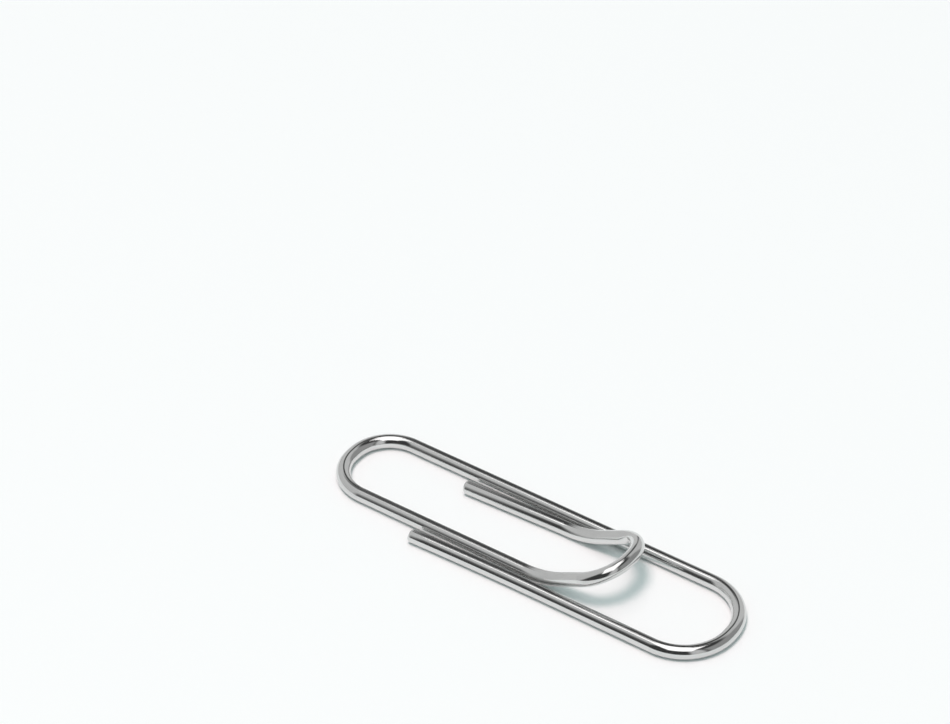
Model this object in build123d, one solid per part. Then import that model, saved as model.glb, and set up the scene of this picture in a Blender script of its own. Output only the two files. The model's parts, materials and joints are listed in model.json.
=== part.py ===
from build123d import *
from math import cos, radians
import os

# A lipped paper clip, bent from one length of round steel wire.
# Lengths are in millimetres and angles in degrees. The clip lies on Z = 0.
# +X runs along the clip to the front bend, where paper goes in, +Y to the long leg, +Z up.
# The wire is divided where its shape changes, and at the tip of each bend, where it twists in use.

# Driving dimensions
wire_diameter = 1.0
clip_length = 32.0
front_width = 8.47        # across the front bend
leg_gap = 0.22            # between the outer leg and the inner leg beside it
tail_gap = 0.15           # between the long leg and the root of the tail beside it
outer_leg_length = 8.34   # straight wire from the front bend to the turn of the outer leg
outer_splay = 2.1         # turn of the outer leg away from the inner leg, up to its free end
outer_turn_radius = 300.0 # centre line of that turn
inner_leg_length = 13.41  # from the rear bend to the fold of the lip
twist_length = 0.3        # straight wire at the tip of each bend, about which its halves twist
fold_radius = 6.5         # centre line of the fold that raises the lip
lip_angle = 27.0          # rise of the lip above the clip
lip_ramp_length = 1.81    # straight wire between the fold and the lip's bend
tail_length = 7.75        # straight wire up to the free end
tail_splay = 2.3          # turn of the tail away from the long leg
tail_turn_radius = 8.0    # centre line of that turn
end_rounding = 0.25       # edge of a cut and tumbled wire end

# Centre lines of the legs, with the clip's outline centred on Y = 0
wire_radius = wire_diameter / 2
splay_width = outer_turn_radius * (1 - cos(radians(outer_splay)))
long_leg_y = (front_width + splay_width) / 2 - wire_radius
outer_leg_y = (splay_width - front_width) / 2 + wire_radius
inner_leg_y = outer_leg_y + wire_diameter + leg_gap
tail_y = long_leg_y - wire_diameter - tail_gap

# Bends: the radius of the centre line, and where the bend leaves the legs
front_radius = (long_leg_y - outer_leg_y - twist_length) / 2
front_x = clip_length / 2 - wire_radius - front_radius
rear_radius = (long_leg_y - inner_leg_y - twist_length) / 2
rear_x = wire_radius + rear_radius - clip_length / 2
lip_radius = (tail_y - inner_leg_y - twist_length) / 2
fold_x = rear_x + inner_leg_length

# Tips of the bends, midway between the two legs that they join
front_tip_y = (long_leg_y + outer_leg_y) / 2
rear_tip_y = (long_leg_y + inner_leg_y) / 2
lip_tip_y = (tail_y + inner_leg_y) / 2


def on_ground(x, y):
    """Centre of a wire that lies on the ground."""
    return (x, y, wire_radius)


def round_wire(path):
    """Round wire along a path of tangent lines and arcs."""
    section = Plane(origin=path @ 0, z_dir=path % 0) * Circle(wire_radius)
    return sweep(section, path=path)


def straight_leg(start_x, end_x, y):
    """Straight wire lying on the ground, parallel to X."""
    return round_wire(Line(on_ground(start_x, y), on_ground(end_x, y)))


def outer_wire():
    """Outer leg from the front bend to the free end, turned away from the inner leg."""
    run = Line(on_ground(front_x, outer_leg_y), on_ground(front_x - outer_leg_length, outer_leg_y))
    turn = JernArc(run @ 1, (-1, 0), outer_turn_radius, outer_splay)
    return round_wire(Wire([run, turn]))


def path_to_tip(start, heading, radius):
    """Path of half a bend: a quarter turn to the left, then straight up to the tip."""
    turn = JernArc(start, heading, radius, 90)
    tip = Line(turn @ 1, turn @ 1 + (turn % 1) * twist_length / 2)
    return [turn, tip]


def other_half(half, tip_y):
    """The half of a bend on the other side of its tip."""
    return mirror(half, about=Plane.XZ.offset(-tip_y))


def cut_end(leg):
    """A leg whose free end, the one with the lowest X, has a softened edge."""
    return fillet(leg.edges().filter_by(GeomType.CIRCLE).sort_by(Axis.X)[0], end_rounding)


def lip_half():
    """Near half of the lip: the fold, the ramp and half of the bend in the raised plane."""
    fold_plane = Plane.XZ.offset(-inner_leg_y)
    fold = fold_plane * JernArc((fold_x, wire_radius), (1, 0), fold_radius, lip_angle)
    rise = fold % 1
    ramp = Line(fold @ 1, fold @ 1 + rise * lip_ramp_length)
    lip_plane = Plane(origin=ramp @ 1, x_dir=rise, z_dir=rise.cross(Vector(0, 1, 0)))
    bend = [lip_plane * edge for edge in path_to_tip((0, 0), (1, 0), lip_radius)]
    return round_wire(Wire([fold, ramp] + bend))


def tail_wire():
    """Tail from the fold of the lip to the free end, turned away from the long leg."""
    turn = JernArc(on_ground(fold_x, tail_y), (-1, 0), tail_turn_radius, tail_splay)
    run = Line(turn @ 1, turn @ 1 + (turn % 1) * tail_length)
    return round_wire(Wire([turn, run]))


front_bend_near = round_wire(Wire(path_to_tip(on_ground(front_x, outer_leg_y), (1, 0), front_radius)))
rear_bend_far = round_wire(Wire(path_to_tip(on_ground(rear_x, long_leg_y), (-1, 0), rear_radius)))
lip_near = lip_half()

pieces = {
    "outer_leg": cut_end(outer_wire()),
    "front_bend_near": front_bend_near,
    "front_bend_far": other_half(front_bend_near, front_tip_y),
    "long_leg": straight_leg(rear_x, front_x, long_leg_y),
    "rear_bend_far": rear_bend_far,
    "rear_bend_near": other_half(rear_bend_far, rear_tip_y),
    "inner_leg": straight_leg(rear_x, fold_x, inner_leg_y),
    "lip_near": lip_near,
    "lip_far": other_half(lip_near, lip_tip_y),
    "tail": cut_end(tail_wire()),
}

os.makedirs("parts", exist_ok=True)
for name, piece in pieces.items():
    piece.label = name
    export_step(piece, f"parts/{name}.step")
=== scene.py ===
import json
import math
from collections import namedtuple

import bmesh
import bpy
from bpy.props import FloatProperty, FloatVectorProperty, PointerProperty
from mathutils import Matrix, Vector


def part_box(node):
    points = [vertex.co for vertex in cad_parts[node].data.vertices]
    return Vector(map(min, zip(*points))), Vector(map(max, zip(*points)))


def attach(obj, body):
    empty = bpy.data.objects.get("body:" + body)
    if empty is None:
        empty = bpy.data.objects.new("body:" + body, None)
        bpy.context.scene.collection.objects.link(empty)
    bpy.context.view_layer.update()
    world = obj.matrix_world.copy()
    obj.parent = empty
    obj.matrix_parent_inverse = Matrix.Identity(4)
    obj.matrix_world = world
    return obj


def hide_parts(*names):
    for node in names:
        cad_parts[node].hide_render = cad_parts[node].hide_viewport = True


bl_info = {
    "name": "Lipped Paper Clip",
    "version": (1, 0, 0),
    "blender": (4, 5, 0),
    "location": "3D View > Sidebar > Paper Clip",
    "description": "Draws the wire of a paper clip round its packed solids and sets it in a small studio",
    "category": "Add Mesh",
}

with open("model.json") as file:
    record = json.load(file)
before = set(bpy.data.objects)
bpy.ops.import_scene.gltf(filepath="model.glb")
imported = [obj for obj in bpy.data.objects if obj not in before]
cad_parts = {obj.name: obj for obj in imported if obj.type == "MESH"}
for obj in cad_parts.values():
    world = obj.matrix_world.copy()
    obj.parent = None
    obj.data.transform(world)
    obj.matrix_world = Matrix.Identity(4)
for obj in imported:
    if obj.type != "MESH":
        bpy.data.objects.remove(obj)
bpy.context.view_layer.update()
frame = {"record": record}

MM = 0.001
QUARTER = math.pi / 2
SENSOR_WIDTH = 36

# Fineness of the wire: points round it, slices of a bend, and slices of a rounded edge
SIDES = 64
SLICE = math.radians(1.2)
FEWEST_SLICES = 8
ROUNDING_SLICES = 7

# A turn sharper than GENTLE starts and ends with a THIN slice
GENTLE = math.radians(5)
THIN = math.radians(0.03)

# A cut end: how far it reaches, in wire radii, and the rim of its face, as a share of the rounding
END_REACH = 3
RIM_SHARE = 0.1

# Axes of the frame that travels along the wire
HEADING = Vector((0, 0, 1))
LEFT = Vector((1, 0, 0))
RIGHT = Vector((-1, 0, 0))
UP = Vector((0, 1, 0))

# Straight wire, which may be the tip of a bend, and a bend about a centre on one of its sides
Run = namedtuple("Run", "length bend", defaults=[None])
Turn = namedtuple("Turn", "radius angle side")

# A wall round the clip: its shade, and in degrees its middle, half its width, its top and its soft edge
Wall = namedtuple("Wall", "shade azimuth half_width top soft")


def extent(node):
    """Size of a solid's box along each axis."""
    low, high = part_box(node)
    return high - low


def length(name, description, default):
    """A size that a user may change."""
    return FloatProperty(name=name, description=description, default=default, min=0, precision=5,
                         subtype="DISTANCE", unit="LENGTH")


def angle(name, description, degrees):
    """An angle that a user may change."""
    return FloatProperty(name=name, description=description, default=math.radians(degrees),
                         subtype="ANGLE", unit="ROTATION")


def amount(name, description, default):
    """A plain number that a user may change."""
    return FloatProperty(name=name, description=description, default=default, min=0)


def colour(name, description, default):
    """A colour that a user may change."""
    return FloatVectorProperty(name=name, description=description, default=default, size=3,
                               min=0, max=1, subtype="COLOR")


def spot(name, description, default):
    """A place that a user may change."""
    return FloatVectorProperty(name=name, description=description, default=default, size=3,
                               subtype="XYZ", unit="LENGTH")


def area(name, description, default):
    """A width and a depth that a user may change."""
    return FloatVectorProperty(name=name, description=description, default=default, size=2,
                               min=0, unit="LENGTH")


class ClipWire(bpy.types.PropertyGroup):
    """Sizes of the wire and of its bends"""
    diameter: length("Wire diameter", "Thickness of the drawn wire", extent("long_leg").z)
    outer_splay: angle("Outer leg splay", "Turn of the outer leg away from the inner leg", 2.1)
    outer_turn_radius: length("Outer leg turn radius", "Centre line of the outer leg's turn", 300 * MM)
    fold_radius: length("Fold radius", "Centre line of the fold that raises the lip", 6.5 * MM)
    lip_angle: angle("Lip angle", "Rise of the lip above the clip", 27)
    tail_length: length("Tail length", "Straight wire up to the tail's free end", 7.75 * MM)
    tail_splay: angle("Tail splay", "Turn of the tail away from the long leg", 2.3)
    tail_turn_radius: length("Tail turn radius", "Centre line of the tail's turn", 8 * MM)
    end_rounding: length("End rounding", "Softened edge of a cut wire end", 0.25 * MM)
    shear: angle("Shear", "Slant of a cut wire end", 5)


class ClipFinish(bpy.types.PropertyGroup):
    """Colours and surface of the plated wire"""
    nickel: colour("Nickel", "Bright nickel plate", (0.7, 0.705, 0.7))
    haze: colour("Haze", "Plate that is a little duller", (0.6, 0.605, 0.6))
    steel: colour("Cut steel", "Bare steel of a cut end", (0.5, 0.49, 0.48))
    roughness: amount("Roughness", "Roughness of clean plate", 0.11)
    sway: length("Sway", "Unevenness left by straightening the wire", 0.012 * MM)
    die_lines: length("Die lines", "Depth of the lines left by drawing the wire", 0.0006 * MM)
    crinkle: length("Crinkle", "Depth of the fine crinkle of the plate", 0.00015 * MM)
    break_depth: length("Break depth", "Depth of the grain where the steel broke", 0.004 * MM)


class ClipStudio(bpy.types.PropertyGroup):
    """Camera, light and floor"""
    floor: colour("Floor", "Plain pale floor", (0.97, 0.97, 0.97))
    floor_reach: length("Floor reach", "From the clip to the floor's edges", 2.5)
    panel: colour("Panel light", "Light of the panels overhead", (1.0, 0.975, 0.975))
    panel_radiance: amount("Panel radiance", "Brightness of the panels overhead", 1.6)
    panel_place: spot("Panel place", "Middle of the wide panel", (0.13, -0.4, 2.0))
    panel_size: area("Panel size", "Width and depth of the wide panel", (1.35, 2.0))
    back_panel_place: spot("Back panel place", "Middle of the small panel behind it", (-0.56, 0.68, 2.0))
    back_panel_size: area("Back panel size", "Width and depth of the small panel", (0.55, 0.55))
    lamp: colour("Lamp light", "Light of the lamp in the wide panel", (1.0, 0.8, 0.81))
    lamp_radiance: amount("Lamp radiance", "Brightness of the lamp in the wide panel", 20.5)
    lamp_place: spot("Lamp place", "Middle of the lamp", (-0.06, -0.48, 1.99))
    lamp_size: area("Lamp size", "Width and depth of the lamp", (0.52, 0.52))
    fill: colour("Fill light", "Light of the room on the floor", (0.31, 0.42, 0.415))
    pale_wall: amount("Pale walls", "Shade of the pale walls, in the metal", 0.64)
    dim_wall: amount("Dim wall", "Shade of the dim wall on the right, in the metal", 0.34)
    dark: amount("Dark", "Shade of the rest of the room, in the metal", 0.05)
    azimuth: angle("Camera azimuth", "Round from the outer leg's side towards the front bend", 34.781)
    elevation: angle("Camera elevation", "Above the floor", 39.261)
    distance: length("Camera distance", "From the point that it looks at", 281.41 * MM)
    look_at: spot("Look at", "Point on the floor at the picture's centre", (-14.667 * MM, 14.282 * MM, 0))
    lens: FloatProperty(name="Lens", description="Focal length on a 36 mm sensor", default=149.6,
                        unit="CAMERA")


def wire_route(wire):
    """The moves that draw each stretch, in the order in which the wire runs."""
    radius = wire.diameter / 2
    front_reach = extent("front_bend_near")
    rear_reach = extent("rear_bend_near")
    front = Turn(front_reach.x - radius, QUARTER, LEFT)
    rear = Turn(rear_reach.x - radius, QUARTER, LEFT)
    tip_length = front_reach.y - front.radius - radius
    lip_reach = extent("lip_near")
    lip = Turn(lip_reach.y - tip_length - radius, QUARTER, LEFT)
    front_tip, rear_tip, lip_tip = (Run(tip_length, bend) for bend in (front, rear, lip))
    fold = Turn(wire.fold_radius, wire.lip_angle, UP)
    splay = Turn(wire.outer_turn_radius, wire.outer_splay, RIGHT)
    outer_run = Run(extent("outer_leg").x - splay.radius * math.sin(splay.angle))
    rise = lip_reach.z - wire.diameter - fold.radius * (1 - math.cos(fold.angle))
    ramp = Run(rise / math.sin(fold.angle) - lip.radius)
    return {
        "outer_leg": [splay, outer_run],
        "front_bend_near": [front, front_tip],
        "front_bend_far": [front_tip, front],
        "long_leg": [Run(extent("long_leg").x)],
        "rear_bend_far": [rear, rear_tip],
        "rear_bend_near": [rear_tip, rear],
        "inner_leg": [Run(extent("inner_leg").x)],
        "lip_near": [fold, ramp, lip, lip_tip],
        "lip_far": [lip_tip, lip, ramp, fold],
        "tail": [Turn(wire.tail_turn_radius, wire.tail_splay, LEFT), Run(wire.tail_length)],
    }


def wire_start(wire):
    """Frame at the outer leg's free end: Z along the wire, Y up and X to the left."""
    low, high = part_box("outer_leg")
    radius = wire.diameter / 2
    splay_width = wire.outer_turn_radius * (1 - math.cos(wire.outer_splay))
    axes = Matrix(((0, 0, 1), (1, 0, 0), (0, 1, 0))).to_4x4()
    place = Matrix.Translation((low.x, high.y - radius - splay_width, low.z + radius)) @ axes
    return place @ Matrix.Rotation(wire.outer_splay, 4, UP)


def turned(place, turn, by):
    """The frame after part of a turn."""
    centre = Matrix.Translation(turn.side * turn.radius)
    return place @ centre @ Matrix.Rotation(by, 4, HEADING.cross(turn.side)) @ centre.inverted()


def moved(place, move):
    """The frame after a whole move."""
    if isinstance(move, Run):
        return place @ Matrix.Translation(HEADING * move.length)
    return turned(place, move, move.angle)


def move_length(move):
    """Wire used by a move."""
    return move.length if isinstance(move, Run) else move.radius * move.angle


class WirePen:
    """Draws one stretch of wire as a tube, and notes where each point lay before the wire was bent."""

    def __init__(self, place, along, radius):
        self.place = place
        self.along = along
        self.radius = radius
        self.mesh = bmesh.new()
        self.drawn = self.mesh.verts.layers.float_vector.new("drawn_wire")
        self.strain = self.mesh.verts.layers.float.new("bend_strain")
        made = bmesh.ops.create_circle(self.mesh, segments=SIDES, radius=radius, matrix=place)
        self.ring = made["verts"] + list(self.mesh.edges)
        self.first = self.edges()
        self.note()

    def edges(self):
        """Edges of the ring at the pen."""
        return [part for part in self.ring if isinstance(part, bmesh.types.BMEdge)]

    def verts(self):
        """Points of the ring at the pen."""
        return [part for part in self.ring if isinstance(part, bmesh.types.BMVert)]

    def note(self, turn=None):
        """Keeps the place of the ring on the straight wire, and how far a turn stretches it."""
        unbend = self.place.inverted()
        for vert in self.verts():
            across = unbend @ vert.co
            vert[self.drawn] = (across.x, across.y, self.along)
            vert[self.strain] = -across.dot(turn.side) / turn.radius if turn else 0.0

    def draw_run(self, run):
        """Straight wire; the tip of a bend is stretched as the bend is."""
        if run.bend:
            self.note(run.bend)
        self.ring = bmesh.ops.extrude_edge_only(self.mesh, edges=self.edges())["geom"]
        points = self.verts()
        rim = [edge for edge in self.edges() if all(vert in points for vert in edge.verts)]
        self.ring = points + rim
        ahead = self.place.to_3x3() @ (HEADING * run.length)
        bmesh.ops.translate(self.mesh, verts=points, vec=ahead)
        self.place = moved(self.place, run)
        self.along += run.length
        self.note(run.bend)

    def draw_turn(self, turn):
        """Bent wire; a thin slice at each end of a sharp turn keeps the shading level there."""
        slices = max(FEWEST_SLICES, round(turn.angle / SLICE))
        steps = [turn.angle / slices] * slices
        if turn.angle > GENTLE:
            steps = [THIN] + [(turn.angle - 2 * THIN) / slices] * slices + [THIN]
        for step in steps:
            centre = self.place @ (turn.side * turn.radius)
            axis = self.place.to_3x3() @ HEADING.cross(turn.side)
            made = bmesh.ops.spin(self.mesh, geom=self.ring, cent=centre, axis=axis, angle=step, steps=1)
            self.ring = made["geom_last"]
            self.place = turned(self.place, turn, step)
            self.along += step * turn.radius
            self.note(turn)

    def draw(self, move):
        """One move."""
        if isinstance(move, Run):
            self.draw_run(move)
        else:
            self.draw_turn(move)

    def close(self, edges):
        """Flat face over an end of the wire, with a crisp edge."""
        bmesh.ops.edgeloop_fill(self.mesh, edges=edges)
        for edge in edges:
            edge.smooth = False

    def cut(self, edges, place, along, wire):
        """Sheared free end: slanted a little, its edge rolled over, bare steel on its face."""
        rim = list({vert for edge in edges for vert in edge.verts})
        slant = Matrix.Rotation(wire.shear, 3, place.to_3x3() @ LEFT)
        bmesh.ops.rotate(self.mesh, verts=rim, cent=place.translation, matrix=slant)
        bmesh.ops.edgeloop_fill(self.mesh, edges=edges)
        bmesh.ops.bevel(self.mesh, geom=edges, offset=wire.end_rounding, offset_type="OFFSET",
                        segments=ROUNDING_SLICES, profile=0.5, affect="EDGES", clamp_overlap=True,
                        material=-1)
        flats = [face for face in self.mesh.faces if len(face.verts) == SIDES]
        face = min(flats, key=lambda flat: (flat.calc_center_median() - place.translation).length)
        face.material_index = 1
        bmesh.ops.inset_individual(self.mesh, faces=[face], thickness=RIM_SHARE * wire.end_rounding)
        unbend = place.inverted()
        for vert in self.mesh.verts:
            across = unbend @ vert.co
            if across.length < END_REACH * self.radius:
                vert[self.drawn] = (across.x, across.y, along + across.z)


def stretch_start(node, wire, route):
    """Frame where a stretch starts, and the length of wire before it."""
    place = wire_start(wire)
    along = 0.0
    for name, moves in route.items():
        if name == node:
            break
        for move in moves:
            place = moved(place, move)
            along += move_length(move)
    return place, along


def stretch_mesh(node, wire):
    """Closed tube for one stretch; the two free ends of the wire are cut."""
    route = wire_route(wire)
    place, along = stretch_start(node, wire, route)
    pen = WirePen(place, along, wire.diameter / 2)
    for move in route[node]:
        pen.draw(move)
    if node == "outer_leg":
        pen.close(pen.edges())
        pen.cut(pen.first, place, along, wire)
    elif node == "tail":
        pen.close(pen.first)
        pen.cut(pen.edges(), pen.place, pen.along, wire)
    else:
        pen.close(pen.first)
        pen.close(pen.edges())
    bmesh.ops.recalc_face_normals(pen.mesh, faces=pen.mesh.faces)
    for face in pen.mesh.faces:
        face.smooth = True
    mesh = bpy.data.meshes.new(f"{node}_wire")
    pen.mesh.to_mesh(mesh)
    pen.mesh.free()
    return mesh


def draw_stretch(node, scene):
    """The stretch of wire that stands for one solid."""
    mesh = stretch_mesh(node, scene.clip_wire)
    for finish in wire_finishes(scene.clip_finish):
        mesh.materials.append(finish)
    piece = bpy.data.objects.new(f"{node}_wire", mesh)
    scene.collection.objects.link(piece)
    bodies = frame["record"]["behaviour"]["bodies"]
    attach(piece, next(body for body, nodes in bodies.items() if node in nodes))
    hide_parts(node)


def add_node(tree, kind, inputs=None, **settings):
    """One node; an input is a number, a colour or another node's output."""
    made = tree.nodes.new(kind)
    for name, value in settings.items():
        setattr(made, name, value)
    for name, value in (inputs or {}).items():
        if isinstance(value, bpy.types.NodeSocket):
            tree.links.new(value, made.inputs[name])
        else:
            made.inputs[name].default_value = value
    return made


def new_material(name):
    """A material with its node tree and its shader."""
    material = bpy.data.materials.new(name)
    material.use_nodes = True
    tree = material.node_tree
    return material, tree, tree.nodes["Principled BSDF"]


def grain(tree, wire, across, along, detail):
    """Noise whose marks are that wide across the wire and that long along it."""
    scaled = add_node(tree, "ShaderNodeVectorMath", {0: wire, 1: (1 / across, 1 / across, 1 / along)},
                      operation="MULTIPLY")
    noise = add_node(tree, "ShaderNodeTexNoise",
                     {"Vector": scaled.outputs[0], "Scale": 1.0, "Detail": detail})
    return noise.outputs["Fac"]


def band(tree, value, start, end, low, high):
    """A value carried smoothly from one range to another."""
    made = add_node(tree, "ShaderNodeMapRange",
                    {"Value": value, "From Min": start, "From Max": end, "To Min": low, "To Max": high},
                    interpolation_type="SMOOTHSTEP")
    return made.outputs["Result"]


def total(tree, one, other):
    """Sum of two values."""
    return add_node(tree, "ShaderNodeMath", {0: one, 1: other}, operation="ADD").outputs[0]


def blend(tree, factor, one, other):
    """One colour, turned into another by a factor."""
    made = add_node(tree, "ShaderNodeMix", {"Factor": factor, "A": (*one, 1), "B": (*other, 1)},
                    data_type="RGBA")
    return made.outputs["Result"]


def relief(tree, height, depth, below=None):
    """Bump of that depth on top of another."""
    inputs = {"Height": height, "Distance": depth, "Strength": 1.0}
    if below:
        inputs["Normal"] = below
    return add_node(tree, "ShaderNodeBump", inputs).outputs["Normal"]


def nickel_plate(finish):
    """Bright nickel on drawn wire: die lines, slow unevenness, cloudy plate, haze outside the bends."""
    material, tree, shader = new_material("nickel_plate")
    wire = add_node(tree, "ShaderNodeAttribute", attribute_name="drawn_wire").outputs["Vector"]
    strain = add_node(tree, "ShaderNodeAttribute", attribute_name="bend_strain").outputs["Fac"]
    sway = grain(tree, wire, across=5 * MM, along=4 * MM, detail=1.0)
    lines = grain(tree, wire, across=0.07 * MM, along=12 * MM, detail=3.0)
    clouds = grain(tree, wire, across=0.9 * MM, along=2.2 * MM, detail=3.0)
    peel = grain(tree, wire, across=0.06 * MM, along=0.06 * MM, detail=2.0)
    cloudy = band(tree, clouds, start=0.45, end=0.75, low=0.0, high=0.45)
    stretched = band(tree, strain, start=0.02, end=0.16, low=0.0, high=0.35)
    haze = total(tree, cloudy, stretched)
    tree.links.new(blend(tree, haze, finish.nickel, finish.haze), shader.inputs["Base Color"])
    clean = band(tree, clouds, start=0.3, end=0.8,
                 low=finish.roughness - 0.02, high=finish.roughness + 0.05)
    scored = band(tree, lines, start=0.4, end=0.8, low=0.0, high=0.04)
    tree.links.new(total(tree, clean, scored), shader.inputs["Roughness"])
    shader.inputs["Metallic"].default_value = 1.0
    uneven = relief(tree, sway, finish.sway)
    drawn = relief(tree, lines, finish.die_lines, uneven)
    crinkled = relief(tree, peel, finish.crinkle, drawn)
    tree.links.new(crinkled, shader.inputs["Normal"])
    return material


def cut_steel(finish):
    """Sheared steel: a burnished part above, and a rougher part below where it broke away."""
    material, tree, shader = new_material("cut_steel")
    wire = add_node(tree, "ShaderNodeAttribute", attribute_name="drawn_wire").outputs["Vector"]
    height = add_node(tree, "ShaderNodeSeparateXYZ", {"Vector": wire}).outputs["Y"]
    torn = band(tree, height, start=-0.1 * MM, end=0.06 * MM, low=1.0, high=0.0)
    crystals = grain(tree, wire, across=0.035 * MM, along=0.035 * MM, detail=3.0)
    bright = band(tree, crystals, start=0.3, end=0.7, low=0.0, high=0.6)
    tree.links.new(blend(tree, bright, finish.steel, finish.haze), shader.inputs["Base Color"])
    rough = band(tree, torn, start=0.0, end=1.0, low=0.28, high=0.5)
    tree.links.new(rough, shader.inputs["Roughness"])
    shader.inputs["Metallic"].default_value = 1.0
    tree.links.new(relief(tree, crystals, finish.break_depth), shader.inputs["Normal"])
    return material


def wire_finishes(finish):
    """The two finishes of the wire, made once."""
    made = [bpy.data.materials.get(name) for name in ("nickel_plate", "cut_steel")]
    return made if all(made) else [nickel_plate(finish), cut_steel(finish)]


def lay_floor(studio):
    """Plain pale floor."""
    mesh = bpy.data.meshes.new("floor")
    shape = bmesh.new()
    bmesh.ops.create_grid(shape, x_segments=1, y_segments=1, size=studio.floor_reach)
    shape.to_mesh(mesh)
    shape.free()
    material, _, shader = new_material("floor_paper")
    shader.inputs["Base Color"].default_value = (*studio.floor, 1)
    shader.inputs["Roughness"].default_value = 0.7
    shader.inputs["Specular IOR Level"].default_value = 0.1
    mesh.materials.append(material)
    floor = bpy.data.objects.new("floor", mesh)
    bpy.context.scene.collection.objects.link(floor)


def hang_light(name, place, size, tint, radiance, azimuth, mirrored):
    """Rectangular light that faces straight down, squared to an azimuth; the metal may mirror it."""
    light = bpy.data.lights.new(name, "AREA")
    light.shape = "RECTANGLE"
    light.size, light.size_y = size
    light.color = tint
    light.energy = radiance * math.pi * light.size * light.size_y
    hung = bpy.data.objects.new(name, light)
    hung.location = place
    hung.rotation_euler.z = azimuth
    hung.visible_glossy = mirrored
    bpy.context.scene.collection.objects.link(hung)


def hang_softbox(studio):
    """Softbox high over the clip: a wide panel with a lamp in it, and a small panel behind."""
    panels = {
        "panel": (studio.panel_place, studio.panel_size),
        "back_panel": (studio.back_panel_place, studio.back_panel_size),
    }
    for name, (place, size) in panels.items():
        hang_light(name, place, size, studio.panel, studio.panel_radiance, studio.azimuth, mirrored=True)
    hang_light("lamp", studio.lamp_place, studio.lamp_size, studio.lamp, studio.lamp_radiance,
               studio.azimuth, mirrored=False)


def room_walls(studio):
    """Walls that the metal mirrors, each in front of the ones before it."""
    return (
        Wall(studio.dim_wall, azimuth=125, half_width=45, top=54, soft=6),
        Wall(studio.pale_wall, azimuth=61, half_width=12, top=60, soft=5),
        Wall(studio.pale_wall, azimuth=180, half_width=22, top=56, soft=5),
        Wall(studio.pale_wall, azimuth=-118, half_width=32, top=24, soft=5),
        Wall(studio.pale_wall, azimuth=-107, half_width=33, top=45, soft=5),
        Wall(studio.pale_wall, azimuth=-76, half_width=42, top=72, soft=9),
    )


def put_up(tree, level, height, room, wall):
    """The room with one more soft-edged wall, round its azimuth and up to its top."""
    azimuth = math.radians(wall.azimuth)
    compass = (math.sin(azimuth), -math.cos(azimuth), 0)
    facing = add_node(tree, "ShaderNodeVectorMath", {0: level, 1: compass}, operation="DOT_PRODUCT")
    outside = math.cos(math.radians(wall.half_width + wall.soft))
    inside = math.cos(math.radians(wall.half_width - wall.soft))
    across = band(tree, facing.outputs["Value"], start=outside, end=inside, low=0.0, high=1.0)
    under = math.sin(math.radians(wall.top - wall.soft))
    over = math.sin(math.radians(wall.top + wall.soft))
    below = band(tree, height, start=under, end=over, low=1.0, high=0.0)
    cover = add_node(tree, "ShaderNodeMath", {0: across, 1: below}, operation="MULTIPLY").outputs[0]
    return add_node(tree, "ShaderNodeMix", {"Factor": cover, "A": room, "B": wall.shade}).outputs["Result"]


def light_room(studio):
    """Even fill on the floor; in the metal, a dark room with pale walls and a dim one."""
    world = bpy.data.worlds.new("room")
    world.use_nodes = True
    bpy.context.scene.world = world
    tree = world.node_tree
    toward = add_node(tree, "ShaderNodeTexCoord").outputs["Generated"]
    height = add_node(tree, "ShaderNodeSeparateXYZ", {"Vector": toward}).outputs["Z"]
    flat = add_node(tree, "ShaderNodeVectorMath", {0: toward, 1: (1, 1, 0)}, operation="MULTIPLY")
    level = add_node(tree, "ShaderNodeVectorMath", {0: flat.outputs[0]}, operation="NORMALIZE").outputs[0]
    room = studio.dark
    for wall in room_walls(studio):
        room = put_up(tree, level, height, room, wall)
    seen = tree.nodes["Background"]
    tree.links.new(room, seen.inputs["Strength"])
    seen.inputs["Color"].default_value = (1, 1, 1, 1)
    fill = add_node(tree, "ShaderNodeBackground", {"Color": (*studio.fill, 1), "Strength": 1.0})
    path = add_node(tree, "ShaderNodeLightPath")
    mirrored = total(tree, path.outputs["Is Camera Ray"], path.outputs["Is Glossy Ray"])
    mirrored = total(tree, mirrored, path.outputs["Is Transmission Ray"])
    mixed = add_node(tree, "ShaderNodeMixShader", {0: mirrored, 1: fill.outputs[0], 2: seen.outputs[0]})
    tree.links.new(mixed.outputs[0], tree.nodes["World Output"].inputs["Surface"])


def set_camera(studio):
    """Camera at the picture's viewing angle."""
    back = Vector((math.sin(studio.azimuth) * math.cos(studio.elevation),
                   -math.cos(studio.azimuth) * math.cos(studio.elevation),
                   math.sin(studio.elevation)))
    camera = bpy.data.objects.new("camera", bpy.data.cameras.new("camera"))
    camera.data.sensor_width = SENSOR_WIDTH
    camera.data.lens = studio.lens
    camera.data.clip_start = 10 * MM
    camera.location = Vector(studio.look_at) + back * studio.distance
    camera.rotation_euler = (-back).to_track_quat("-Z", "Y").to_euler()
    bpy.context.scene.collection.objects.link(camera)
    bpy.context.scene.camera = camera


class ClipLegs(bpy.types.Operator):
    """Draw the four legs"""
    bl_idname = "paper_clip.legs"
    bl_label = "Legs"

    def execute(self, context):
        for node in ("outer_leg", "long_leg", "inner_leg", "tail"):
            draw_stretch(node, context.scene)
        return {"FINISHED"}


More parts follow.
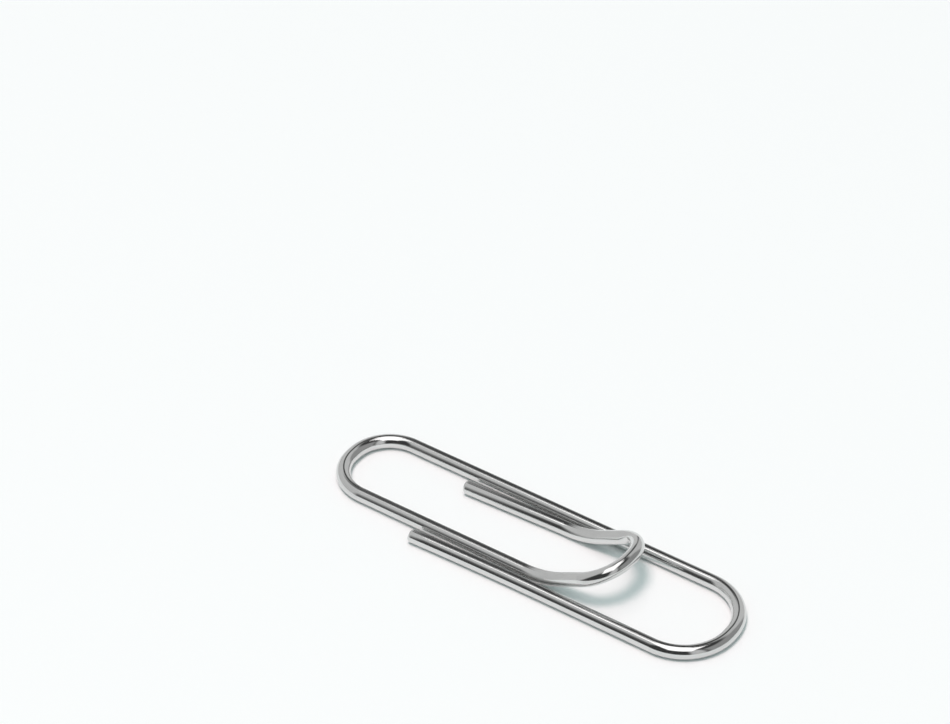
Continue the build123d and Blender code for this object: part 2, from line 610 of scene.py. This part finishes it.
class ClipBends(bpy.types.Operator):
    """Draw the front bend and the rear bend, each in two halves"""
    bl_idname = "paper_clip.bends"
    bl_label = "Bends"

    def execute(self, context):
        for node in ("front_bend_near", "front_bend_far", "rear_bend_far", "rear_bend_near"):
            draw_stretch(node, context.scene)
        return {"FINISHED"}


class ClipLip(bpy.types.Operator):
    """Draw the raised lip in two halves"""
    bl_idname = "paper_clip.lip"
    bl_label = "Lip"

    def execute(self, context):
        for node in ("lip_near", "lip_far"):
            draw_stretch(node, context.scene)
        return {"FINISHED"}


class ClipStage(bpy.types.Operator):
    """Set up the floor, the light and the camera"""
    bl_idname = "paper_clip.stage"
    bl_label = "Stage"

    def execute(self, context):
        studio = context.scene.clip_studio
        lay_floor(studio)
        hang_softbox(studio)
        light_room(studio)
        set_camera(studio)
        context.scene.view_settings.view_transform = "Standard"
        return {"FINISHED"}


class ClipPanel(bpy.types.Panel):
    """Sizes, finish and stage of the paper clip"""
    bl_idname = "VIEW3D_PT_paper_clip"
    bl_label = "Paper Clip"
    bl_space_type = "VIEW_3D"
    bl_region_type = "UI"
    bl_category = "Paper Clip"

    def draw(self, context):
        for group in (context.scene.clip_wire, context.scene.clip_finish, context.scene.clip_studio):
            box = self.layout.box()
            for name in group.__annotations__:
                box.prop(group, name)
        for operator in (ClipStage, ClipLegs, ClipBends, ClipLip):
            self.layout.operator(operator.bl_idname)


CLASSES = (ClipWire, ClipFinish, ClipStudio, ClipStage, ClipLegs, ClipBends, ClipLip, ClipPanel)


def register():
    for each in CLASSES:
        bpy.utils.register_class(each)
    bpy.types.Scene.clip_wire = PointerProperty(type=ClipWire)
    bpy.types.Scene.clip_finish = PointerProperty(type=ClipFinish)
    bpy.types.Scene.clip_studio = PointerProperty(type=ClipStudio)


def unregister():
    del bpy.types.Scene.clip_studio
    del bpy.types.Scene.clip_finish
    del bpy.types.Scene.clip_wire
    for each in reversed(CLASSES):
        bpy.utils.unregister_class(each)


def main():
    register()
    bpy.ops.paper_clip.stage()
    bpy.ops.paper_clip.legs()
    bpy.ops.paper_clip.bends()
    bpy.ops.paper_clip.lip()


if __name__ == "__main__":
    main()
